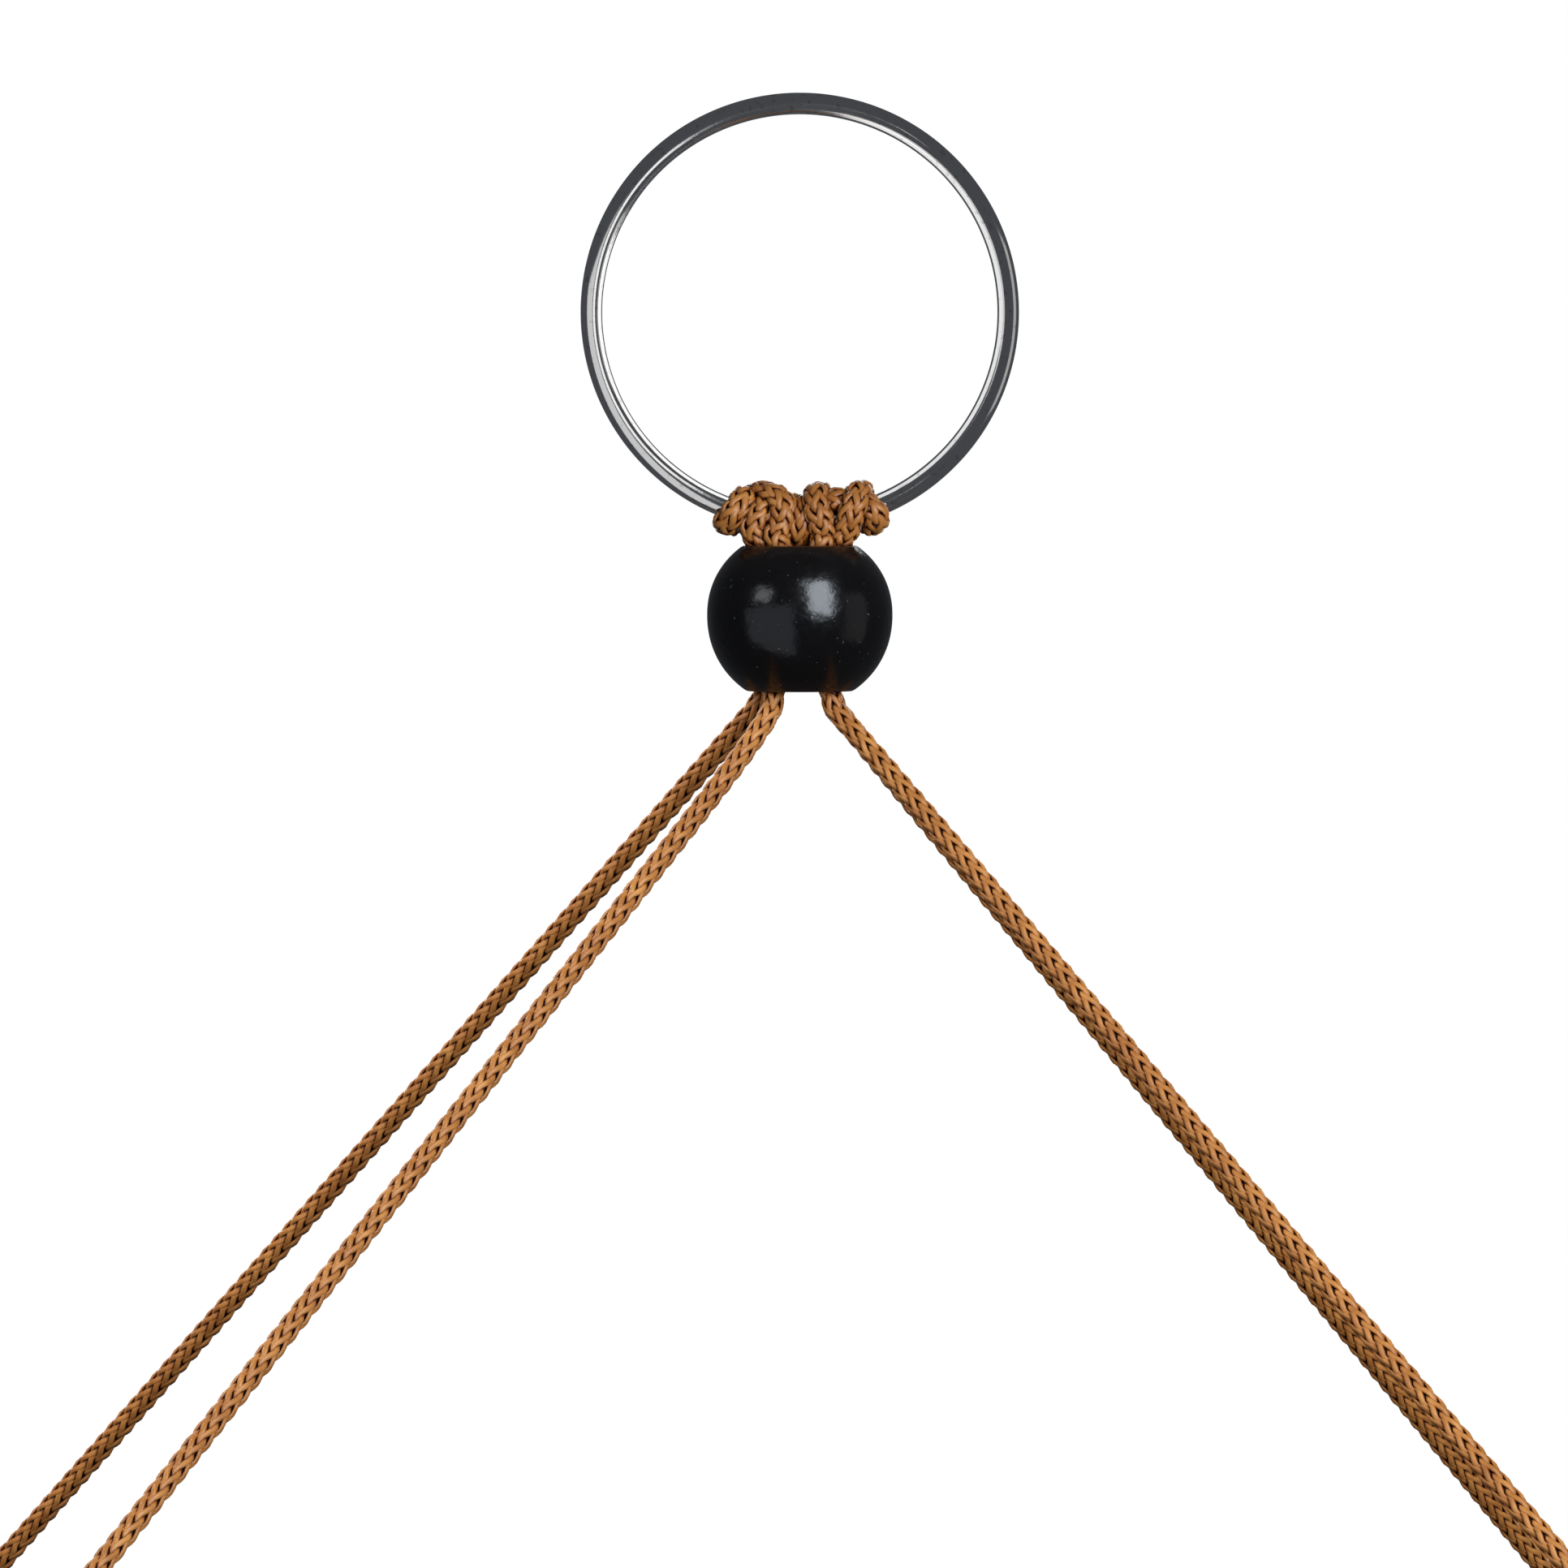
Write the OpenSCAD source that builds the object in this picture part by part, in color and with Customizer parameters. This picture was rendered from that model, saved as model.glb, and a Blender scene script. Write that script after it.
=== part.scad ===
// Macrame planter hanger: a wire ring, two folded cords hitched onto it side by side,
// a wooden bead over all four strands, and four legs that splay out to the pot's rim.
// The origin is the hanging point, inside the top of the ring. +Z is up, -Y is the front.

/* [Ring] */
// Outside diameter of the wire ring
ring_d = 50; // [46:0.5:54]
// Diameter of the ring's wire
wire_d = 2.5; // [2:0.1:2.6]

/* [Bead] */
// Largest diameter of the bead
bead_d = 21.1; // [20.6:0.1:24]
// Height of the bead between its flat ends
bead_h = 16.6; // [15.8:0.1:17]
// Diameter of the bead's bore
bore_d = 10; // [9.9:0.1:10.8]
// Diameter of the chamfered mouth at each end of the bore
mouth_d = 12; // [11.9:0.1:12.4]
// Depth of that chamfer
mouth_depth = 2; // [1.8:0.1:3]

/* [Cord] */
// Diameter of the knitted cord
cord_d = 2.5; // [2.2:0.1:2.5]

/* [Hitches] */
// Width that each hitch takes up on the wire
hitch_w = 9.2; // [8:0.1:9.4]
// Outside diameter of the wraps
hitch_d = 6.6; // [6:0.1:6.6]
// Gap between the wire and the wraps
wrap_gap = 0.1; // [0.05:0.05:0.15]

/* [Legs] */
// Angle of a leg from straight down, in degrees
leg_tilt = 49.9; // [40:0.1:55]
// Diameter of the knot at the end of a leg
knot_d = 7.8; // [7:0.1:9]
// Length of loose cord below a knot
tail_len = 13; // [8:1:20]

/* [Hidden] */

// Ring and wire
wire_r = wire_d / 2;
wire_path_r = ring_d / 2 - wire_r;
ring_z = -(ring_d / 2 - wire_d);
wire_low_z = ring_z - wire_path_r;

// Hitches: each starts this far from the middle of the ring
hitch_start = 0.2;
function wire_angle(x) = asin(x / wire_path_r);

// Bead: a ball with its two ends cut off flat
bead_top_z = -49.1;
bead_z = bead_top_z - bead_h / 2;
eps = 0.01;

// Cord
cord_r = cord_d / 2;
cord_sides = 8;
// The rounded lower end of a neck strand: how far past its pivot, and the radius there
dome = [[0.5, 0.87], [0.87, 0.5], [0.99, 0.14]];

// The four legs in the order front left, front right, back left, back right.
// Where each leg pivots, just below the bead
leg_pivot = [[-2.7, -2.6, -66.8], [3.1, -2.6, -66.8], [-4.2, 2.2, -66.8], [3.4, 2.5, -66.8]];
// The way it leans out, in degrees round from +X
leg_heading = [227, 317, 137, 47];
// How far the straight leg lies inside the line that its first few millimetres point along
leg_bow = [1.8, -0.35, 0.05, 0.28];
bow_reach = 6;
// Distances along a leg from its pivot, at which its route has a point
leg_stations = [1.6, 3, 5, 8, 12, 20, 32, 44, 58, 72, 88, 104, 122, 140, 158, 177];
leg_len = 177;

// The strands' route down from the hitches through the bore: [x, y, z] of each point
neck_route = [
    [[-2.8, -1.4, -49.8], [-2.7, -1.7, -53], [-2.6, -2.1, -58], [-2.6, -2.4, -63], leg_pivot[0]],
    [[2.8, -1.4, -49.8], [2.8, -1.7, -53], [2.8, -2.1, -58], [2.9, -2.4, -63], leg_pivot[1]],
    [[-2.8, 1.4, -49.8], [-2.8, 1.7, -53], [-2.8, 1.8, -58], [-2.9, 1.8, -63], leg_pivot[2]],
    [[2.8, 1.4, -49.8], [2.9, 1.7, -53], [2.9, 2, -58], [3, 2.2, -63], leg_pivot[3]]
];

function unit(v) = v / norm(v);
function out_dir(i) = [cos(leg_heading[i]), sin(leg_heading[i]), 0];
function leg_dir(i) = sin(leg_tilt) * out_dir(i) - [0, 0, cos(leg_tilt)];
function leg_point(i, s) =
    leg_pivot[i] + s * leg_dir(i) - leg_bow[i] * (1 - exp(-s / bow_reach)) * out_dir(i);

// The direction of a route at its point i
function tangent(p, i) = unit(p[min(i + 1, len(p) - 1)] - p[max(i - 1, 0)]);

// One ring of points of radius r round p, square to the tangent t. side is any vector
// that no tangent is parallel to.
function ring_points(p, t, r, side) =
    let(a = unit(cross(t, side)), b = cross(t, a))
    [for (k = [0 : cord_sides - 1]) p + r * (cos(360 * k / cord_sides) * a + sin(360 * k / cord_sides) * b)];

// A closed tube round the route, with a radius for each of its points
module tube(route, radii, side) {
    n = len(route);
    m = cord_sides;
    points = [for (i = [0 : n - 1]) each ring_points(route[i], tangent(route, i), radii[i], side)];
    walls = [
        for (i = [0 : n - 2], k = [0 : m - 1])
        let(a = i * m + k, b = i * m + (k + 1) % m)
        each [[a, b, b + m], [a, b + m, a + m]]
    ];
    ends = [[for (k = [m - 1 : -1 : 0]) k], [for (k = [0 : m - 1]) (n - 1) * m + k]];
    polyhedron(points, concat(walls, ends));
}

module ring() {
    color("silver")
    translate([0, 0, ring_z])
    rotate([90, 0, 0])
    rotate_extrude($fn = 96)
    translate([wire_path_r, 0])
    circle(r = wire_r, $fn = 32);
}

// The wraps of one cord round the wire, as a sleeve that follows the ring.
// side is -1 for the left hitch and 1 for the right one.
module hitch(side) {
    near = wire_angle(hitch_start);
    far = wire_angle(hitch_start + hitch_w);
    color("peru")
    translate([0, 0, ring_z])
    rotate([90, 0, 0])
    rotate([0, 0, side < 0 ? -90 - far : -90 + near])
    rotate_extrude(angle = far - near, $fn = 96)
    translate([wire_path_r, 0])
    difference() {
        circle(d = hitch_d, $fn = 32);
        circle(r = wire_r + wrap_gap, $fn = 32);
    }
}

module left_hitch() {
    hitch(-1);
}

module right_hitch() {
    hitch(1);
}

module bead() {
    half = bead_h / 2;
    color("black")
    translate([0, 0, bead_z])
    rotate_extrude($fn = 96)
    difference() {
        intersection() {
            circle(d = bead_d, $fn = 96);
            translate([0, -half]) square([bead_d, bead_h]);
        }
        translate([-eps, -half - eps]) square([bore_d / 2 + eps, bead_h + 2 * eps]);
        for (up = [-1, 1])
            polygon([
                [bore_d / 2 - eps, up * (half - mouth_depth)],
                [mouth_d / 2, up * half],
                [mouth_d / 2, up * (half + eps)],
                [bore_d / 2 - eps, up * (half + eps)]
            ]);
    }
}

module neck_strand(i) {
    route = neck_route[i];
    last = route[len(route) - 1];
    along = tangent(route, len(route) - 1);
    domed = concat(route, [for (d = dome) last + cord_r * d[0] * along]);
    radii = concat([for (p = route) cord_r], [for (d = dome) cord_r * d[1]]);
    color("tan") tube(domed, radii, [0, 1, 0]);
}

module leg_cord(i) {
    route = [for (s = leg_stations) leg_point(i, s)];
    color("tan") tube(route, [for (p = route) cord_r], cross(out_dir(i), [0, 0, 1]));
}

// The overhand knot at the end of a leg, and the loose tail below it
module end_knot(i) {
    knot_r = knot_d / 2;
    rise = sqrt(knot_r * knot_r - cord_r * cord_r);
    color("peru")
    translate(leg_point(i, leg_len))
    rotate([0, 180 - leg_tilt, leg_heading[i]]) {
        intersection() {
            translate([0, 0, rise]) sphere(r = knot_r, $fn = 48);
            translate([-knot_r, -knot_r, 0]) cube([2 * knot_r, 2 * knot_r, 3 * knot_r]);
        }
        translate([0, 0, rise]) cylinder(r = cord_r, h = knot_r + tail_len, $fn = 24);
    }
}

ring();
left_hitch();
right_hitch();
bead();
neck_strand(0);  // neck_strand_fl
neck_strand(1);  // neck_strand_fr
neck_strand(2);  // neck_strand_bl
neck_strand(3);  // neck_strand_br
leg_cord(0);  // leg_cord_fl
leg_cord(1);  // leg_cord_fr
leg_cord(2);  // leg_cord_bl
leg_cord(3);  // leg_cord_br
end_knot(0);  // end_knot_fl
end_knot(1);  // end_knot_fr
end_knot(2);  // end_knot_bl
end_knot(3);  // end_knot_br
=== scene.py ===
"""The looks of a macrame planter hanger: wire ring, two hitches, lacquered bead, four knitted legs.

Everything is in metres in the row frame: the origin is the inside top of the ring, +Z is up
and -Y is the front. Lengths named _MM are millimetres, and metres() turns them into metres.
"""

import math

import bpy
import numpy as np
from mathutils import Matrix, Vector


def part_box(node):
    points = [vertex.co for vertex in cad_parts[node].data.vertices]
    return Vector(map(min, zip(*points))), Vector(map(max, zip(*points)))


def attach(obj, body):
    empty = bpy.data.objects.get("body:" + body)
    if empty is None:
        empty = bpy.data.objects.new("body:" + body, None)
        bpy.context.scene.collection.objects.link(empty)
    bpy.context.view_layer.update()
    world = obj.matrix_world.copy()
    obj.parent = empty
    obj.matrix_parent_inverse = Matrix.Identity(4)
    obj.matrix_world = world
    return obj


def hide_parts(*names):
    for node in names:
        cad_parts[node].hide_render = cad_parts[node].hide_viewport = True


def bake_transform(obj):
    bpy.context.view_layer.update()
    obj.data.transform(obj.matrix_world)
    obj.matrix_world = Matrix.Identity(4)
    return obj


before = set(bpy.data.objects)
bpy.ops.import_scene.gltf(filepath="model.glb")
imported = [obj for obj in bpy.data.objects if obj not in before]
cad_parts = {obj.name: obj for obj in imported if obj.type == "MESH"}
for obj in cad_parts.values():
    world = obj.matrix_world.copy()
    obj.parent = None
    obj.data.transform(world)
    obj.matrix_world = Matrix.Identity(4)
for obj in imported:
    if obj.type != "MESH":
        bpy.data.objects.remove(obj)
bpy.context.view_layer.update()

KEYS = ("fl", "fr", "bl", "br")  # front left, front right, back left, back right


def metres(mm):
    """Millimetres, or an array or a nested list of them, as an array in metres."""
    return np.asarray(mm, float) * 0.001


# ---------------------------------------------------------------- camera

CAMERA_DISTANCE = 1.5
CAMERA_ELEVATION = math.radians(1.7)
CAMERA_AIM = (-0.0018, 0.0, -0.0763)
FRAME_WIDTH = 0.1789  # what the camera sees at the aim point, from edge to edge
SENSOR_MM = 36.0


def make_camera():
    """The camera in front of the hanger and slightly above it, as in the photograph."""
    data = bpy.data.cameras.new("camera")
    camera = bpy.data.objects.new("camera", data)
    bpy.context.scene.collection.objects.link(camera)
    camera.location = (
        CAMERA_AIM[0],
        CAMERA_AIM[1] - CAMERA_DISTANCE * math.cos(CAMERA_ELEVATION),
        CAMERA_AIM[2] + CAMERA_DISTANCE * math.sin(CAMERA_ELEVATION),
    )
    camera.rotation_euler = (math.pi / 2 - CAMERA_ELEVATION, 0, 0)
    data.sensor_width = SENSOR_MM
    data.lens = SENSOR_MM * CAMERA_DISTANCE / FRAME_WIDTH
    data.clip_start = 0.01
    data.clip_end = 50
    bpy.context.scene.camera = camera


make_camera()

# ---------------------------------------------------------------- meshes


def mesh_object(name, points, quads, uvs=None, material_index=None, smooth=True):
    """An object from arrays of points, quads and, for each corner, a UV."""
    mesh = bpy.data.meshes.new(name)
    mesh.vertices.add(len(points))
    mesh.vertices.foreach_set("co", np.ascontiguousarray(points, np.float32).ravel())
    mesh.loops.add(quads.size)
    mesh.loops.foreach_set("vertex_index", quads.ravel().astype(np.int32))
    mesh.polygons.add(len(quads))
    mesh.polygons.foreach_set("loop_start", np.arange(0, quads.size, 4, dtype=np.int32))
    if material_index is not None:
        mesh.polygons.foreach_set("material_index", material_index.astype(np.int32))
    if uvs is not None:
        layer = mesh.uv_layers.new(name="yarn")
        layer.data.foreach_set("uv", np.ascontiguousarray(uvs, np.float32).ravel())
    mesh.update(calc_edges=True)
    if smooth:
        mesh.shade_smooth()
    obj = bpy.data.objects.new(name, mesh)
    bpy.context.scene.collection.objects.link(obj)
    return obj


def strip_quads(rows, columns, closed_rows=False):
    """The quads of a grid whose columns go right round, and its rows too if closed_rows."""
    last = rows if closed_rows else rows - 1
    i, j = np.meshgrid(np.arange(last), np.arange(columns), indexing="ij")
    nxt = (i + 1) % rows
    k = (j + 1) % columns
    return np.stack(
        [i * columns + j, i * columns + k, nxt * columns + k, nxt * columns + j], axis=-1
    ).reshape(-1, 4)


def unit(v):
    """The vectors in v, each at length 1."""
    return v / np.maximum(np.linalg.norm(v, axis=-1, keepdims=True), 1e-12)


# ---------------------------------------------------------------- routes


def smooth_route(points, step):
    """A centripetal Catmull-Rom curve through the points, with a point every step or so."""
    p = np.asarray(points, float)
    p = np.vstack([2 * p[0] - p[1], p, 2 * p[-1] - p[-2]])
    out = []
    for i in range(1, len(p) - 2):
        knots = [0.0]
        for a, b in ((i - 1, i), (i, i + 1), (i + 1, i + 2)):
            knots.append(knots[-1] + math.sqrt(np.linalg.norm(p[b] - p[a])))
        t0, t1, t2, t3 = knots
        n = max(2, math.ceil(np.linalg.norm(p[i + 1] - p[i]) / step))
        t = np.linspace(t1, t2, n, endpoint=False)[:, None]
        a1 = (t1 - t) / (t1 - t0) * p[i - 1] + (t - t0) / (t1 - t0) * p[i]
        a2 = (t2 - t) / (t2 - t1) * p[i] + (t - t1) / (t2 - t1) * p[i + 1]
        a3 = (t3 - t) / (t3 - t2) * p[i + 1] + (t - t2) / (t3 - t2) * p[i + 2]
        b1 = (t2 - t) / (t2 - t0) * a1 + (t - t0) / (t2 - t0) * a2
        b2 = (t3 - t) / (t3 - t1) * a2 + (t - t1) / (t3 - t1) * a3
        out.append((t2 - t) / (t2 - t1) * b1 + (t - t1) / (t2 - t1) * b2)
    out.append(p[-2][None])
    return evenly(np.vstack(out), step)


def run_lengths(path):
    """How far along the path each of its points is."""
    return np.concatenate([[0], np.cumsum(np.linalg.norm(np.diff(path, axis=0), axis=1))])


def evenly(path, step):
    """The path again, with its points about a step apart."""
    along = run_lengths(path)
    at = np.linspace(0, along[-1], max(3, round(along[-1] / step) + 1))
    return np.stack([np.interp(at, along, path[:, k]) for k in range(3)], axis=1)


def carried_frames(path, side):
    """At each point of a path, its tangent and two normals that turn no more than they must."""
    tangent = unit(np.gradient(path, axis=0))
    normal = np.zeros_like(path)
    n = np.cross(tangent[0], side)
    normal[0] = n / np.linalg.norm(n)
    for i in range(1, len(path)):
        step = path[i] - path[i - 1]
        c = step @ step
        n = normal[i - 1] - 2 / c * (step @ normal[i - 1]) * step
        t = tangent[i - 1] - 2 / c * (step @ tangent[i - 1]) * step
        v = tangent[i] - t
        c = v @ v
        if c > 1e-18:
            n = n - 2 / c * (v @ n) * v
        normal[i] = n / np.linalg.norm(n)
    return tangent, normal, np.cross(tangent, normal)


# ---------------------------------------------------------------- knitted cord

ROUTE_STEP = 0.00025
WALES = 4  # stitches round the cord
COURSE = 0.00246  # from one stitch to the next along it
LOOP_REACH = 0.72  # how far a loop's head and foot reach, in courses
LOOP_SWAY = 0.32  # how far its arms lean, in stitches
YARN_RADIUS = 0.00087  # from the cord's middle to the yarn's
YARN_WEAVE = 0.00022  # how far the yarn dips in and out
YARN_HALF_WIDTH = 0.00036
YARN_HALF_DEPTH = 0.00023
CORE_RADIUS = 0.00063
YARN_SWELL = 0.1  # how much wider the yarn is at a loop's head, and narrower at its foot
STITCH_POINTS = 16
YARN_SIDES = 8
CORE_SIDES = 10
CORE_STEP = 3 * ROUTE_STEP
PRESS_SPREAD = 0.35  # how much wider a pressed cord gets, for each part that it gets thinner


def flattened(middle, points, press):
    """The points, moved to where they are on a cord that is pressed flat against the wire."""
    if press is None:
        return points
    amount, way = press(middle)
    out = points - middle
    depth = np.sum(out * way, axis=-1, keepdims=True)
    across = out - depth * way
    return middle + across * (1 + PRESS_SPREAD * amount) + depth * (1 - amount) * way


def knit_core(path, side, girth, press):
    """The points and quads of the core that fills a knitted cord, whose dark colour is painted
    shade.
    """
    core_path = evenly(path, CORE_STEP)
    _, normal, binormal = carried_frames(core_path, side)
    spin = np.linspace(0, 2 * math.pi, CORE_SIDES, endpoint=False)[None, :, None]
    core = np.cos(spin) * normal[:, None] + np.sin(spin) * binormal[:, None]
    core = core_path[:, None] + CORE_RADIUS * girth * core
    core = flattened(np.repeat(core_path, CORE_SIDES, axis=0), core.reshape(-1, 3), press)
    return core, strip_quads(len(core_path), CORE_SIDES)


def yarn_uvs(yarn, quads):
    """For each quad's four corners: how far round the yarn, and how many courses along it."""
    yarn_run = run_lengths(yarn) / COURSE
    row, column = np.divmod(np.arange(len(quads)), YARN_SIDES)
    u0, u1 = column / YARN_SIDES, (column + 1) / YARN_SIDES
    v0, v1 = yarn_run[row], yarn_run[row + 1]
    return np.stack([u0, v0, u1, v0, u1, v1, u0, v1], axis=1)


def knit(
    name, path, side, upwards=True, turn=0.0, girth=1.0, fullness=1.0, course=COURSE, press=None
):
    """A knitted cord along a path: one yarn that goes round and round it in interlocked loops,
    over a core painted dark as shade. The stitches' V shapes open towards the path's start if
    upwards."""
    length = run_lengths(path)[-1]
    rows = length / course
    t = np.arange(0, 2 * math.pi * WALES * rows, 2 * math.pi / STITCH_POINTS)
    along = course * (t / (2 * math.pi * WALES) + LOOP_REACH * np.cos(t))
    stitch = 2 * math.pi / WALES
    angle = t / WALES + LOOP_SWAY * stitch * np.sin(2 * t) + turn
    radius = girth * (YARN_RADIUS - YARN_WEAVE * np.cos(2 * t))
    if upwards:
        along = length - along
    along = np.clip(along, 0, length)
    tangent, normal, binormal = carried_frames(path, side)
    at = along / length * (len(path) - 1)
    low = np.minimum(at.astype(int), len(path) - 2)
    part = (at - low)[:, None]

    def sample(values):
        return values[low] * (1 - part) + values[low + 1] * part

    middle, n, b = sample(path), unit(sample(normal)), unit(sample(binormal))
    outward = np.cos(angle)[:, None] * n + np.sin(angle)[:, None] * b
    yarn = flattened(middle, middle + radius[:, None] * outward, press)
    run = unit(np.gradient(yarn, axis=0))
    across = unit(np.cross(run, outward))
    lift = np.cross(across, run)
    spin = np.linspace(0, 2 * math.pi, YARN_SIDES, endpoint=False)
    width = YARN_HALF_WIDTH * girth * fullness * (1 + YARN_SWELL * np.cos(t))[:, None, None]
    points = (
        yarn[:, None]
        + width * np.cos(spin)[None, :, None] * across[:, None]
        + YARN_HALF_DEPTH * girth * np.sin(spin)[None, :, None] * lift[:, None]
    ).reshape(-1, 3)
    quads = strip_quads(len(yarn), YARN_SIDES)
    core, core_quads = knit_core(path, side, girth, press)
    index = np.concatenate([np.zeros(len(quads)), np.ones(len(core_quads))])
    uvs = np.vstack([yarn_uvs(yarn, quads), np.zeros((len(core_quads), 8))])
    return mesh_object(
        name,
        np.vstack([points, core]),
        np.vstack([quads, core_quads + len(points)]),
        uvs,
        index,
    )


# ---------------------------------------------------------------- legs

# The legs' routes, as part.scad has them, in millimetres. Of each neck route only the last two
# points are used here: above them the strand belongs to its hitch.
LEG_TILT = math.radians(49.9)  # from the vertical
LEG_PIVOT_MM = ((-2.7, -2.6, -66.8), (3.1, -2.6, -66.8), (-4.2, 2.2, -66.8), (3.4, 2.5, -66.8))
LEG_HEADING = (227, 317, 137, 47)  # degrees in plan, from +X towards +Y
LEG_BOW_MM = (1.8, -0.35, 0.05, 0.28)  # how far each leg ends up inside its straight line
BOW_REACH_MM = 6
LEG_STATIONS_MM = (1.6, 3, 5, 8, 12, 20, 32, 44, 58, 72, 88, 104, 122, 140, 158, 177)
NECK_ROUTE_MM = (
    ((-2.8, -1.4, -49.8), (-2.7, -1.7, -53), (-2.6, -2.1, -58), (-2.6, -2.4, -63)),
    ((2.8, -1.4, -49.8), (2.8, -1.7, -53), (2.8, -2.1, -58), (2.9, -2.4, -63)),
    ((-2.8, 1.4, -49.8), (-2.8, 1.7, -53), (-2.8, 1.8, -58), (-2.9, 1.8, -63)),
    ((2.8, 1.4, -49.8), (2.9, 1.7, -53), (2.9, 2, -58), (3, 2.2, -63)),
)
LEG_OPENS_UP = (True, False, True, False)
LEG_TURN = (0.8, 0.9, 0.5, 0.5)  # each leg's stitches, turned about its length, in radians


def out_dir(i):
    """Leg i's level direction away from the bead."""
    a = math.radians(LEG_HEADING[i])
    return np.array([math.cos(a), math.sin(a), 0.0])


def leg_dir(i):
    """Leg i's direction down to its knot."""
    return math.sin(LEG_TILT) * out_dir(i) - np.array([0, 0, math.cos(LEG_TILT)])


def leg_point_mm(i, s):
    """Leg i's middle, s millimetres from the bead's mouth."""
    bow = LEG_BOW_MM[i] * (1 - math.exp(-s / BOW_REACH_MM))
    return np.array(LEG_PIVOT_MM[i]) + s * leg_dir(i) - bow * out_dir(i)


def make_leg(i):
    """A leg from inside the bead to its knot. It bends at the bead's mouth."""
    route = list(NECK_ROUTE_MM[i][2:]) + [leg_point_mm(i, s) for s in LEG_STATIONS_MM]
    path = smooth_route(metres(route), ROUTE_STEP)
    leg = knit(f"leg_{KEYS[i]}", path, out_dir(i), LEG_OPENS_UP[i], LEG_TURN[i])
    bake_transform(leg)
    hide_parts(f"leg_cord_{KEYS[i]}")
    return leg, path


# ---------------------------------------------------------------- end knots

KNOT_STEPS = 1500
KNOT_POINTS = 96
KNOT_LINK = 0.55  # millimetres between the points of the cord while it is pulled tight
KNOT_GAP = 2.3  # how near two stretches of it may come
STRAIGHT_LINKS = 22  # the links at both ends of it that are kept in line with the leg
KNOT_FROM = 20  # the point where the leg ends and the knot starts
KNOT_OVERLAP = 0.0006
KNOT_PULL = 0.08  # millimetres that each end is pulled out in a step
KNOT_STRAIGHTEN = 0.9  # what is left, after a step, of how far the ends are out of line
KNOT_STIFFNESS = 0.12  # how much of each kink a step takes out
KNOT_NEIGHBOURS = 5  # points this near along the cord may be close together
KNOT_SHRINK_SHARE = 0.6  # the part of the steps in which the cord is drawn in
KNOT_HOLD_FROM = 0.5  # how far it is drawn in when its ends are first held straight
LINK_ROUNDS = 6  # how often a step evens out the links
PUSH_SHARE = 0.6  # how much of an overlap a step pushes apart
LOOSE_REACH = 2.35  # how far either way the loose knot's polynomials run
LOOSE_SCALE = np.array([1.6, 0.56, 3.52])  # and how many millimetres each one's unit is


def loose_knot():
    """An open overhand knot, as points along its cord in millimetres, centred on Z.

    Its three coordinates are polynomials of degree 4, 5 and 3, which is the least for this knot.
    """
    t = np.linspace(-LOOSE_REACH, LOOSE_REACH, 400)
    loose = LOOSE_SCALE * np.stack([t**4 - 4 * t**2, t**5 - 10 * t, t**3 - 3 * t], axis=1)
    p = evenly(loose, run_lengths(loose)[-1] / (KNOT_POINTS - 1))[:KNOT_POINTS]
    p[:, :2] -= 0.5 * (p[0, :2] + p[-1, :2])
    return p


def overhand_route():
    """An overhand knot pulled tight, in millimetres: the cord comes in at the origin along +Z,
    and its tail goes out along +Z. It starts as a loose open knot and is drawn tight."""
    p = loose_knot()
    n = len(p)
    far_apart = np.abs(np.subtract.outer(np.arange(n), np.arange(n))) > KNOT_NEIGHBOURS
    length = run_lengths(p)[-1]
    for step in range(KNOT_STEPS):
        share = min(1.0, step / (KNOT_SHRINK_SHARE * KNOT_STEPS))
        link = (1 - share) * length / (n - 1) + share * KNOT_LINK
        p[0, 2] -= KNOT_PULL
        p[-1, 2] += KNOT_PULL
        held = STRAIGHT_LINKS if share > KNOT_HOLD_FROM else 1
        p[:held, :2] *= KNOT_STRAIGHTEN
        p[-held:, :2] *= KNOT_STRAIGHTEN
        p[1:-1] += KNOT_STIFFNESS * (0.5 * (p[:-2] + p[2:]) - p[1:-1])
        for _ in range(LINK_ROUNDS):
            d = p[1:] - p[:-1]
            size = np.linalg.norm(d, axis=1, keepdims=True)
            move = 0.5 * (size - link) * d / size
            for odd in (0, 1):
                p[:-1][odd::2] += move[odd::2]
                p[1:][odd::2] -= move[odd::2]
        apart = p[:, None] - p[None]
        size = np.linalg.norm(apart, axis=2) + np.eye(n)
        near = (size < KNOT_GAP) & far_apart
        push = np.where(near, 0.5 * (KNOT_GAP - size) / size, 0)
        p += PUSH_SHARE * np.einsum("ij,ijk->ik", push, apart)
    return p[KNOT_FROM:] - (0, 0, p[KNOT_FROM, 2])


# ---------------------------------------------------------------- hitches

RING_D = 0.050
WIRE_D = 0.0025
WIRE_PATH_R = (RING_D - WIRE_D) / 2
RING_Z = -(RING_D / 2 - WIRE_D)
CLOSE = 2.05  # how far the middle of a cord that is pressed on the wire is from the wire's
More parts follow.
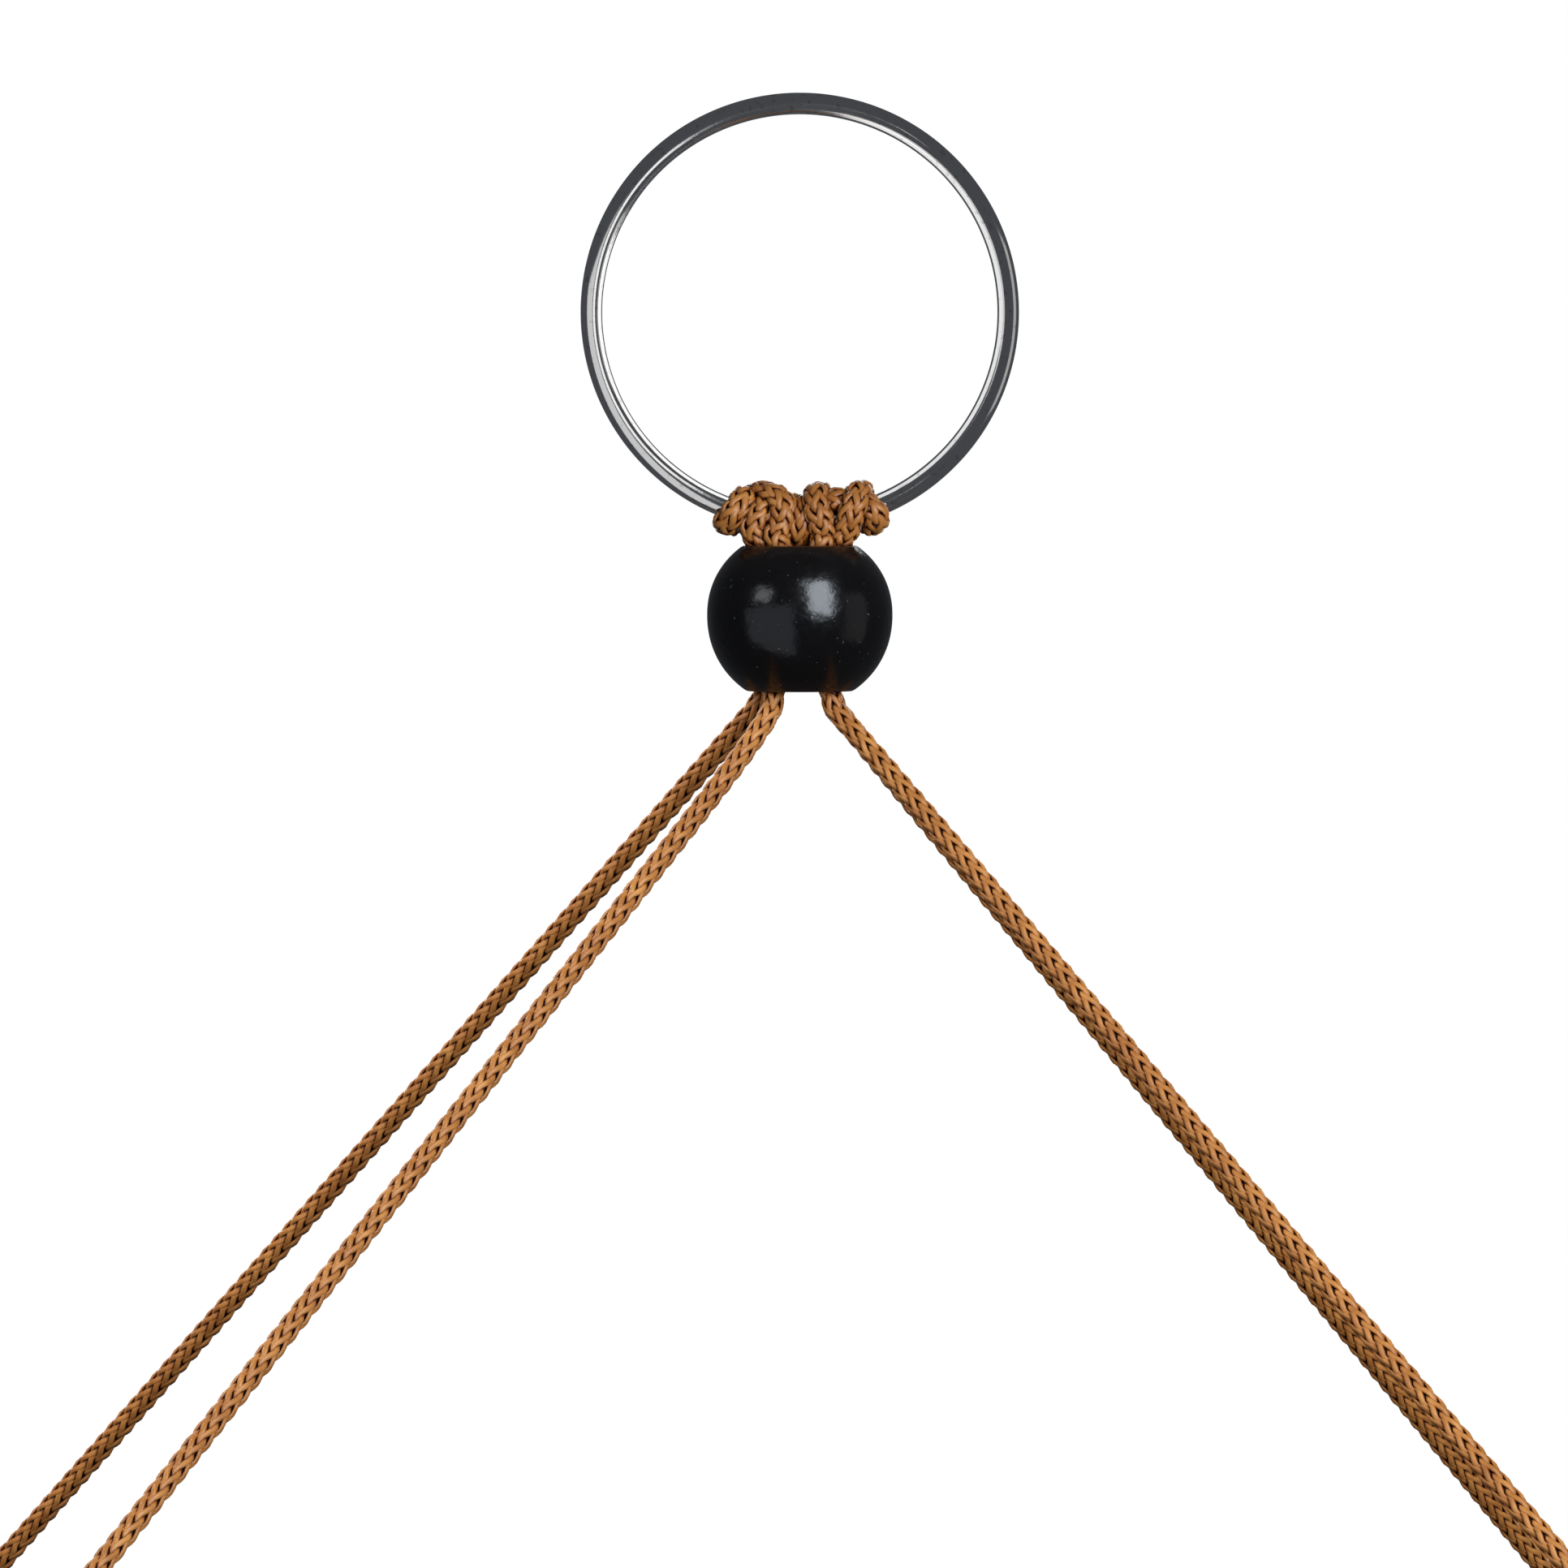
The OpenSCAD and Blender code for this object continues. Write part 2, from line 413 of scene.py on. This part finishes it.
# Each hitch from one strand's way out of the bead to the other's. The points in the bead's
# mouth are millimetres in the row frame. Those round the wire are millimetres along the wire
# from its lowest point, degrees round it from straight down towards the front, and
# millimetres from its middle.
LEFT_MOUTH = (
    (
        (-2.8, 1.8, -58),
        (-2.8, 1.7, -53),
        (-3.4, 0.9, -51.2),
        (-4.1, -0.3, -49.8),
        (-4.6, -1.2, -48.8),
    ),
    (
        (-2.6, -2.1, -58),
        (-2.6, -1.7, -53),
        (-2.2, -2, -51.2),
        (-2, -2.2, -49.8),
        (-2.6, -2.35, -48.8),
    ),
)
LEFT_WRAP = (
    (-5.1, 48, 2.6),
    (-4.9, 80, 2.15),
    (-4.4, 112, CLOSE),
    (-4.0, 148, CLOSE),
    (-3.7, 185, CLOSE),
    (-3.0, 225, CLOSE),
    (-2.1, 270, CLOSE),
    (-1.3, 315, CLOSE),
    (-0.65, 355, CLOSE),
    (-0.4, 395, 2.15),
    (-0.15, 430, 2.3),
    (0.05, 465, 2.3),
    (-0.1, 500, 2.15),
    (-0.6, 540, CLOSE),
    (-1.6, 572, 2.4),
    (-3.2, 590, 3.0),
    (-4.9, 584, 2.8),
    (-6.2, 562, 2.2),
    (-6.7, 530, CLOSE),
    (-7.0, 495, CLOSE),
    (-7.3, 460, 2.15),
    (-7.7, 425, 2.15),
    (-8.0, 390, CLOSE),
    (-7.9, 355, CLOSE),
    (-7.3, 315, CLOSE),
    (-6.6, 270, CLOSE),
    (-6.0, 228, 2.3),
    (-5.4, 195, 2.8),
    (-4.5, 168, 3.1),
    (-3.3, 152, 3.2),
    (-2.3, 135, 3.1),
    (-1.9, 112, 2.8),
    (-2.0, 82, 2.5),
    (-2.6, 50, 3.1),
)
RIGHT_MOUTH = (
    (
        (2.8, -2.1, -58),
        (2.8, -1.7, -53),
        (2.6, -2, -51.2),
        (2.4, -2.3, -49.8),
        (2.4, -2.5, -48.8),
    ),
    (
        (2.9, 2, -58),
        (2.9, 1.7, -53),
        (3.5, 0.8, -51.2),
        (4.1, -0.6, -49.8),
        (4.5, -1.5, -48.8),
    ),
)
RIGHT_WRAP = (
    (2.5, 48, 3.2),
    (2.45, 80, 3.0),
    (2.05, 112, 3.2),
    (2.1, 148, 3.3),
    (2.5, 185, 3.2),
    (2.3, 225, 2.4),
    (1.6, 270, CLOSE),
    (1.3, 315, CLOSE),
    (0.9, 355, CLOSE),
    (0.95, 395, CLOSE),
    (1.2, 430, CLOSE),
    (2.0, 470, 2.2),
    (3.0, 496, 2.7),
    (4.2, 500, 2.8),
    (5.7, 488, 2.3),
    (7.2, 474, CLOSE),
    (8.2, 455, 2.2),
    (8.45, 425, 2.2),
    (8.3, 395, CLOSE),
    (7.9, 355, CLOSE),
    (7.6, 315, CLOSE),
    (7.5, 270, CLOSE),
    (7.6, 225, CLOSE),
    (7.7, 185, 2.2),
    (7.5, 148, 2.8),
    (6.8, 115, 3.1),
    (5.7, 85, 3.1),
    (5.0, 55, 2.9),
)


def round_wire(x, turn, radius):
    """A point by the wire, in metres, from its place along and round it."""
    a = x * 0.001 / WIRE_PATH_R
    down = np.array([math.sin(a), 0, -math.cos(a)])
    front = np.array([0, -1.0, 0])
    middle = np.array([0, 0, RING_Z]) + WIRE_PATH_R * down
    t = math.radians(turn)
    return middle + radius * 0.001 * (math.cos(t) * down + math.sin(t) * front)


HITCH_GIRTH = 1.17  # the slack cord in a hitch is fuller than the taut legs
HITCH_FULLNESS = 1.06  # and its yarn lies flatter
HITCH_COURSE = 0.0016
HITCH_SIDE = (0.2, 1.0, 0.1)  # the direction that a hitch's stitches are counted from
PRESS = 0.32  # how much thinner a cord is where it is pressed on the wire
PRESS_FROM = 0.0042  # from the wire's middle: further out, a cord isn't pressed at all
PRESS_DEPTH = 0.0012  # and this much nearer, it is pressed fully


def pressed_on_wire(middle):
    """How much a cord is pressed at each of its points, and which way."""
    flat = middle - (0, 0, RING_Z)
    flat[:, 1] = 0
    wire = (0, 0, RING_Z) + WIRE_PATH_R * unit(flat)
    away = middle - wire
    gap = np.linalg.norm(away, axis=1, keepdims=True)
    return PRESS * np.clip((PRESS_FROM - gap) / PRESS_DEPTH, 0, 1), away / gap


def make_hitch(side, mouth, wrap, legs, turn):
    """One folded cord's hitch on the wire, with its two strands running into the bead."""
    route = [metres(p) for p in mouth[0]]
    route += [round_wire(*p) for p in wrap]
    route += [metres(p) for p in mouth[1]][::-1]
    path = smooth_route(route, ROUTE_STEP)
    hitch = knit(
        f"cord_{side}_hitch",
        path,
        HITCH_SIDE,
        turn=turn,
        girth=HITCH_GIRTH,
        fullness=HITCH_FULLNESS,
        course=HITCH_COURSE,
        press=pressed_on_wire,
    )
    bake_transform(hitch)
    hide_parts(f"{side}_hitch", *[f"neck_strand_{KEYS[i]}" for i in legs])
    return hitch


# ---------------------------------------------------------------- build the cords


def make_end_knot(i, knot_route, leg_end):
    """Leg i's end knot: the knot's route, set at the leg's end and in line with the leg."""
    down, outward = leg_dir(i), out_dir(i)
    sideways = np.cross(down, outward)
    sideways = sideways / np.linalg.norm(sideways)
    upward = np.cross(sideways, down)
    x, y, z = (column[:, None] for column in metres(knot_route).T)
    path = leg_end - KNOT_OVERLAP * down + x * upward + y * sideways + z * down
    knot = knit(f"knot_{KEYS[i]}", smooth_route(path, ROUTE_STEP), outward, LEG_OPENS_UP[i])
    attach(knot, f"leg_{KEYS[i]}")
    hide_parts(f"end_knot_{KEYS[i]}")
    return knot


cords = []
knot_route = overhand_route()
for i in range(4):
    leg, leg_path = make_leg(i)
    knot = make_end_knot(i, knot_route, leg_path[-1])
    cords += [leg, knot]

cords.append(make_hitch("left", LEFT_MOUTH, LEFT_WRAP, (2, 0), 0.3))
cords.append(make_hitch("right", RIGHT_MOUTH, RIGHT_WRAP, (1, 3), 0.8))

# ---------------------------------------------------------------- ring and bead

RING_STEPS = 360
RING_SIDES = 48


def make_ring():
    """The closed ring of round wire."""
    a = np.linspace(0, 2 * math.pi, RING_STEPS, endpoint=False)
    b = np.linspace(0, 2 * math.pi, RING_SIDES, endpoint=False)
    out = np.stack([np.cos(a), np.zeros_like(a), np.sin(a)], axis=1)
    middle = np.array([0, 0, RING_Z]) + WIRE_PATH_R * out
    points = middle[:, None] + WIRE_D / 2 * (
        np.cos(b)[None, :, None] * out[:, None]
        + np.sin(b)[None, :, None] * np.array([0, 1.0, 0])[None, None]
    )
    ring = mesh_object("wire_ring", points.reshape(-1, 3), strip_quads(RING_STEPS, RING_SIDES, True))
    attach(ring, "ring")
    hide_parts("ring")
    return ring


BEAD_RADIUS = 0.01058
WIDEST = 0.0004  # how far above its middle the bead is widest
BULGE_UP, BULGE_DOWN = 0.0099, 0.0105  # the half heights of the ball that it is cut from
SIDE_END = 0.00813  # where its side gives way to the rounded rim
BORE_R = 0.005
BEAD_TURNS = 192
# From the side's end, over the rim and into the bore: how far in from the side's end or out
# from the bore, and the height, in millimetres
RIM_MM = ((0.0, 8.13), (0.28, 8.27), (0.5, 8.3))
MOUTH_MM = ((0.75, 8.27), (0.48, 8.0), (0.2, 7.3), (0.05, 6.6), (0.0, 5.9))
RIM_STEP = 0.00012
BORE_END = 0.005  # where the rims' rounding has run out in the bore
SIDE_POINTS = 61
BORE_POINTS = 9
SIDE_POWER = 2.1  # 2 is an ellipse, and more is squarer


def side_radius(z):
    """The bead's radius on its bulging side, at a height from its middle."""
    bulge = BULGE_UP if z > WIDEST else BULGE_DOWN
    return BEAD_RADIUS * (1 - (abs(z - WIDEST) / bulge) ** SIDE_POWER) ** 0.5


def bead_outline():
    """The bead's outline in radius and height, once round: up its side and back down its bore."""
    side = [(side_radius(z), z) for z in np.linspace(-SIDE_END, SIDE_END, SIDE_POINTS)]
    ends = []
    for sign in (1, -1):
        edge = side_radius(sign * SIDE_END)
        rim = [(edge - d * 0.001, 0, sign * z * 0.001) for d, z in RIM_MM]
        rim += [(BORE_R + d * 0.001, 0, sign * z * 0.001) for d, z in MOUTH_MM]
        ends.append([(p[0], p[2]) for p in smooth_route(rim, RIM_STEP)[1:]])
    bore = [(BORE_R, z) for z in np.linspace(BORE_END, -BORE_END, BORE_POINTS)]
    return side + ends[0] + bore + ends[1][::-1]


def make_bead():
    """The bead, turned from its outline, in the middle of the CAD bead's height."""
    outline = np.array(bead_outline())
    low, high = (np.array(c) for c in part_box("bead"))
    middle = np.array([0, 0, (low[2] + high[2]) / 2])
    a = np.linspace(0, 2 * math.pi, BEAD_TURNS, endpoint=False)
    r, z = outline[:, 0], outline[:, 1]
    heights = np.broadcast_to(z, (BEAD_TURNS, len(z)))
    points = np.stack([np.outer(np.cos(a), r), np.outer(np.sin(a), r), heights], axis=2) + middle
    quads = strip_quads(BEAD_TURNS, len(outline), True)
    bead = mesh_object("wooden_bead", points.reshape(-1, 3), quads)
    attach(bead, "bead")
    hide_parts("bead")
    return bead


ring = make_ring()
bead = make_bead()

# ---------------------------------------------------------------- materials


class Nodes:
    """Short calls for building one material's node tree."""

    def __init__(self, name):
        self.material = bpy.data.materials.new(name)
        self.material.use_nodes = True
        self.tree = self.material.node_tree
        self.shader = self.tree.nodes["Principled BSDF"]

    def add(self, kind, inputs=None, **settings):
        node = self.tree.nodes.new(kind)
        for key, value in settings.items():
            setattr(node, key, value)
        for key, value in (inputs or {}).items():
            if isinstance(value, bpy.types.NodeSocket):
                self.tree.links.new(value, node.inputs[key])
            else:
                node.inputs[key].default_value = value
        return node

    def set(self, **values):
        for key, value in values.items():
            socket = self.shader.inputs[key.replace("_", " ")]
            if isinstance(value, bpy.types.NodeSocket):
                self.tree.links.new(value, socket)
            else:
                socket.default_value = value

    def ramp(self, factor, *stops):
        node = self.add("ShaderNodeValToRGB", {0: factor})
        elements = node.color_ramp.elements
        while len(elements) < len(stops):
            elements.new(0.5)
        for element, (place, colour) in zip(elements, stops):
            element.position = place
            element.color = (*colour, 1)
        return node.outputs["Color"]

    def math(self, operation, a, b=0.0, c=0.0):
        return self.add("ShaderNodeMath", {0: a, 1: b, 2: c}, operation=operation).outputs[0]

    def noise(self, vector, scale, detail=3.0, rough=0.5):
        node = self.add(
            "ShaderNodeTexNoise",
            {"Vector": vector, "Scale": scale, "Detail": detail, "Roughness": rough},
        )
        return node.outputs["Fac"]

    def openness(self, reach):
        """1 on an open surface, and less where other surface is within reach of it."""
        inputs = {"Distance": reach}
        node = self.add("ShaderNodeAmbientOcclusion", inputs, samples=OCCLUSION_SAMPLES)
        return node.outputs["AO"]

    def mix(self, factor, a, b, blend="MIX"):
        node = self.add("ShaderNodeMix", {0: factor, 6: a, 7: b}, data_type="RGBA", blend_type=blend)
        return node.outputs[2]

    def bump(self, height, strength, distance, normal=None):
        inputs = {"Height": height, "Strength": strength, "Distance": distance}
        if normal is not None:
            inputs["Normal"] = normal
        return self.add("ShaderNodeBump", inputs).outputs["Normal"]


# Reaches of the ambient occlusion whose painted shade darkens the cord's hollows and creases
HOLLOW_SHADE_REACH = 0.0007  # the depth of a stitch
CREASE_SHADE_REACH = 0.003  # the depth between two turns of a hitch
OCCLUSION_SAMPLES = 6


def cord_material():
    """Waxed brown yarn: fine filaments along it, uneven dye, and painted shade in its hollows and
    creases.
    """
    n = Nodes("knitted_cord")
    uv = n.add("ShaderNodeUVMap", uv_map="yarn").outputs[0]
    place = n.add("ShaderNodeTexCoord").outputs["Object"]
    lengthwise = n.add("ShaderNodeMapping", {"Vector": uv, "Scale": (34, 1.1, 1)}).outputs[0]
    filaments = n.noise(lengthwise, 1.0, 4.0, 0.6)
    patches = n.noise(place, 420.0, 3.0, 0.55)
    broad = n.noise(place, 60.0, 2.0, 0.5)
    tone = n.math("ADD", n.math("MULTIPLY", patches, 0.5), n.math("MULTIPLY", filaments, 0.5))
    colour = n.ramp(
        tone,
        (0.30, (0.24, 0.080, 0.014)),
        (0.48, (0.37, 0.140, 0.031)),
        (0.62, (0.49, 0.212, 0.054)),
        (0.78, (0.74, 0.40, 0.115)),
    )
    shade = n.ramp(broad, (0.35, (0.86, 0.82, 0.8)), (0.65, (1.0, 1.0, 1.0)))
    colour = n.mix(1.0, colour, shade, "MULTIPLY")
    # Painted shade: ambient occlusion darkens the yarn's colour in the hollows between stitches and,
    # more broadly, in the creases between a hitch's turns.
    hollow, crease = n.openness(HOLLOW_SHADE_REACH), n.openness(CREASE_SHADE_REACH)
    depth = n.ramp(
        hollow,
        (0.3, (0.08, 0.022, 0.008)),
        (0.68, (0.52, 0.34, 0.23)),
        (0.96, (1, 1, 1)),
    )
    shadow = n.ramp(crease, (0.15, (0.42, 0.30, 0.22)), (0.6, (1, 1, 1)))
    depth = n.mix(1.0, depth, shadow, "MULTIPLY")
    n.set(
        Base_Color=n.mix(1.0, colour, depth, "MULTIPLY"),
        Roughness=n.math("MULTIPLY_ADD", filaments, 0.25, 0.24),
        Specular_IOR_Level=0.32,
        Normal=n.bump(filaments, 0.55, 0.00006),
    )
    return n.material


def shaded_core_material():
    """The cord's inside, seen between its stitches, painted dark as shade."""
    n = Nodes("cord_core_painted_shade")
    place = n.add("ShaderNodeTexCoord").outputs["Object"]
    grain = n.noise(place, 1500.0)
    # Painted shade: the cord's inside is the same yarn, and this dark colour stands for the shade
    # between the stitches.
    colour = n.ramp(grain, (0.3, (0.04, 0.014, 0.005)), (0.7, (0.09, 0.034, 0.012)))
    n.set(Base_Color=colour, Roughness=0.9)
    return n.material


def steel_material():
    """Polished steel with slightly uneven gloss and a few small pits."""
    n = Nodes("polished_steel_wire")
    place = n.add("ShaderNodeTexCoord").outputs["Object"]
    fine = n.noise(place, 2600.0, 2.0, 0.6)
    broad = n.noise(place, 240.0, 3.0, 0.5)
    pits = n.ramp(n.noise(place, 1500.0, 1.0), (0.62, (0, 0, 0)), (0.72, (1, 1, 1)))
    colour = n.mix(n.math("MULTIPLY", pits, 0.35), (0.83, 0.825, 0.82, 1), (0.32, 0.28, 0.25, 1))
    n.set(
        Base_Color=colour,
        Metallic=1.0,
        Roughness=n.math("ADD", n.math("MULTIPLY", broad, 0.14), 0.05),
        Normal=n.bump(fine, 0.12, 0.00002, n.bump(broad, 0.2, 0.00008)),
    )
    return n.material


def lacquer_material():
    """Black lacquer on wood: worn brown at the rims, with smears, ripples and specks of dust."""
    n = Nodes("black_lacquer")
    place = n.add("ShaderNodeTexCoord").outputs["Object"]
    parts = n.add("ShaderNodeSeparateXYZ", {0: place})
    x, y = parts.outputs[0], parts.outputs[1]
    radius = n.math("SQRT", n.math("ADD", n.math("MULTIPLY", x, x), n.math("MULTIPLY", y, y)))
    rim = n.ramp(radius, (0.0048, (1, 1, 1)), (0.0082, (0, 0, 0)))
    wear = n.math("MULTIPLY", rim, n.noise(place, 500.0, 4.0, 0.6))
    black = n.mix(n.noise(place, 260.0), (0.0012, 0.0012, 0.0014, 1), (0.003, 0.003, 0.0036, 1))
    dust = n.ramp(n.noise(place, 2300.0, 1.0), (0.75, (0, 0, 0)), (0.765, (1, 1, 1)))
    colour = n.mix(n.math("MULTIPLY", wear, 0.8), black, (0.03, 0.012, 0.004, 1))
    colour = n.mix(n.math("MULTIPLY", dust, 0.25), colour, (0.25, 0.25, 0.24, 1))
    smear = n.noise(place, 900.0, 5.0, 0.7)
    ripple = n.noise(place, 420.0, 3.0, 0.55)
    worn_gloss = n.math("MULTIPLY_ADD", rim, 0.3, 0.06)
    n.set(
        Base_Color=colour,
        Roughness=n.math("ADD", n.math("MULTIPLY", smear, 0.22), worn_gloss),
        Specular_IOR_Level=0.32,
        Normal=n.bump(smear, 0.35, 0.00004, n.bump(ripple, 0.45, 0.00018)),
    )
    return n.material


knit_material, painted_shade_core = cord_material(), shaded_core_material()
for piece in cords:
    piece.data.materials.append(knit_material)
    piece.data.materials.append(painted_shade_core)
ring.data.materials.append(steel_material())
bead.data.materials.append(lacquer_material())

# ---------------------------------------------------------------- floor, light and air

FLOOR_Z = -0.75
FLOOR_REACH = 2.5
FLOOR_LIGHT = 3.4
FLOOR_LIGHT_ANGLE = math.radians(60)
STUDIO_TINT = (0.86, 0.91, 1.0)
STUDIO_LIGHT = 0.075
WINDOW_TINT = (0.84, 0.92, 1.0)
SECOND_WINDOW_TINT = (0.90, 0.95, 1.0)
RIM_TINT = (1.0, 0.92, 0.78)
GLINT_TINT = (1.0, 0.88, 0.66)


def make_floor():
    """A pale floor far below the hanging object. Only the camera sees it."""
    corners = ((-1, -1), (1, -1), (1, 1), (-1, 1))
    points = np.array([(FLOOR_REACH * x, FLOOR_REACH * y, FLOOR_Z) for x, y in corners])
    floor = mesh_object("floor", points, np.array([[0, 1, 2, 3]]), smooth=False)
    n = Nodes("pale_floor")
    n.set(Base_Color=(0.86, 0.86, 0.86, 1), Roughness=0.9)
    floor.data.materials.append(n.material)
    floor.visible_glossy = False
    floor.visible_diffuse = False
    return floor


def light_only(light, name, pieces):
    """Let a light fall on these pieces and on nothing else."""
    group = bpy.data.collections.new(f"lit_by_{name}")
    for piece in pieces:
        group.objects.link(piece)
    light.light_linking.receiver_collection = group


def softbox(name, place, aim, width, height, radiance, tint=(1, 1, 1), lights=None):
    """A softbox that the camera doesn't see. It lights everything, or a few pieces."""
    data = bpy.data.lights.new(name, "AREA")
    data.shape = "RECTANGLE"
    data.size = width
    data.size_y = height
    data.energy = radiance * math.pi * width * height
    data.color = tint
    light = bpy.data.objects.new(name, data)
    bpy.context.scene.collection.objects.link(light)
    light.location = place
    light.rotation_euler = (Vector(aim) - Vector(place)).to_track_quat("-Z", "Y").to_euler()
    light.visible_camera = False
    if lights:
        light_only(light, name, lights)


def make_world():
    """White to the camera, and a dim grey studio to everything that it lights."""
    world = bpy.data.worlds.new("studio")
    bpy.context.scene.world = world
    world.use_nodes = True
    tree = world.node_tree
    tree.nodes.clear()
    out = tree.nodes.new("ShaderNodeOutputWorld")
    mix = tree.nodes.new("ShaderNodeMixShader")
    rays = tree.nodes.new("ShaderNodeLightPath")
    seen = tree.nodes.new("ShaderNodeBackground")
    seen.inputs[0].default_value = (1, 1, 1, 1)
    seen.inputs[1].default_value = 1.0
    studio = tree.nodes.new("ShaderNodeBackground")
    studio.inputs[0].default_value = (*STUDIO_TINT, 1)
    studio.inputs[1].default_value = STUDIO_LIGHT
    tree.links.new(rays.outputs["Is Camera Ray"], mix.inputs[0])
    tree.links.new(studio.outputs[0], mix.inputs[1])
    tree.links.new(seen.outputs[0], mix.inputs[2])
    tree.links.new(mix.outputs[0], out.inputs[0])


def floor_sun(floor):
    """A broad even light that only the floor sees, so that it is as pale as the air."""
    data = bpy.data.lights.new("floor_sun", "SUN")
    data.energy = FLOOR_LIGHT
    data.angle = FLOOR_LIGHT_ANGLE
    sun = bpy.data.objects.new("floor_sun", data)
    bpy.context.scene.collection.objects.link(sun)
    light_only(sun, "floor_sun", [floor])


MIDDLE = (0, 0, -0.07)  # what the softboxes point at, just under the bead


def far_softbox(name, azimuth, elevation, distance, width, height, *rest, **more):
    """A softbox seen from the bead at that azimuth (right of the camera) and elevation."""
    a, e = math.radians(azimuth), math.radians(elevation)
    away = (math.sin(a) * math.cos(e), -math.cos(a) * math.cos(e), math.sin(e))
    place = [m + distance * v for m, v in zip(MIDDLE, away)]
    softbox(name, place, MIDDLE, width, height, *rest, **more)


def near_card(name, middle_mm, facing, width_mm, height_mm, radiance, lights, **more):
    """A dim upright card near the object, facing along facing, that lights only some pieces."""
    place = metres(middle_mm)
    aim = place + np.array(facing, float)
    width, height = metres((width_mm, height_mm)).tolist()
    softbox(name, tuple(place), tuple(aim), width, height, radiance, lights=lights, **more)


floor = make_floor()
make_world()
legs, hitches = cords[:8], cords[8:]
back_left_leg = cords[4:6]
# Each one's azimuth, elevation, distance, width, height, radiance, tint and lit pieces
far_softbox("window", 27, 24, 0.9, 0.5, 0.75, 13.0, WINDOW_TINT, legs + [bead])
far_softbox("hitch_window", 27, 6, 0.9, 0.32, 0.48, 27.0, WINDOW_TINT, hitches)
far_softbox("second_window", -50, 25, 0.9, 0.32, 0.26, 4.0, SECOND_WINDOW_TINT, cords + [bead])
far_softbox("left_wall", -60, 5, 0.9, 0.5, 0.5, 3.6, lights=legs)
far_softbox("rim", -112, 42, 0.8, 0.16, 0.16, 34.0, RIM_TINT, legs)
far_softbox("back_left_glint", -75, 50, 0.8, 0.12, 0.12, 60.0, GLINT_TINT, back_left_leg)
far_softbox("back_wall", 180, 10, 1.0, 1.0, 0.7, 4.4, lights=cords)
far_softbox("bead_back", 170, 30, 1.0, 0.3, 0.3, 7.0, lights=[bead])
far_softbox("ring_back", 180, 0, 1.0, 0.7, 0.6, 0.9, lights=[ring])
floor_sun(floor)
far_softbox("right_wall", 75, 0, 0.7, 0.4, 0.6, 0.35)
# Each one's middle, facing, width, height, radiance and lit pieces, in millimetres
near_card("bead_card", (-134, -100, -101), (0, 1, 0), 248, 132, 0.75, [bead], tint=STUDIO_TINT)
near_card("ring_left", (-45, -50, -81), (0, 1, 0), 60, 138, 0.6, [ring])
near_card("ring_right", (15, -90, -20), (-1, 0, 0), 80, 50, 1.0, [ring])
near_card("eye_right", (-4, -3, -22), (1, 0, 0), 26, 36, 0.85, [ring])
near_card("eye_left", (4, 6, -14.5), (-1, 0, 0), 27, 19, 1.1, [ring])

bpy.context.scene.view_settings.view_transform = "Standard"
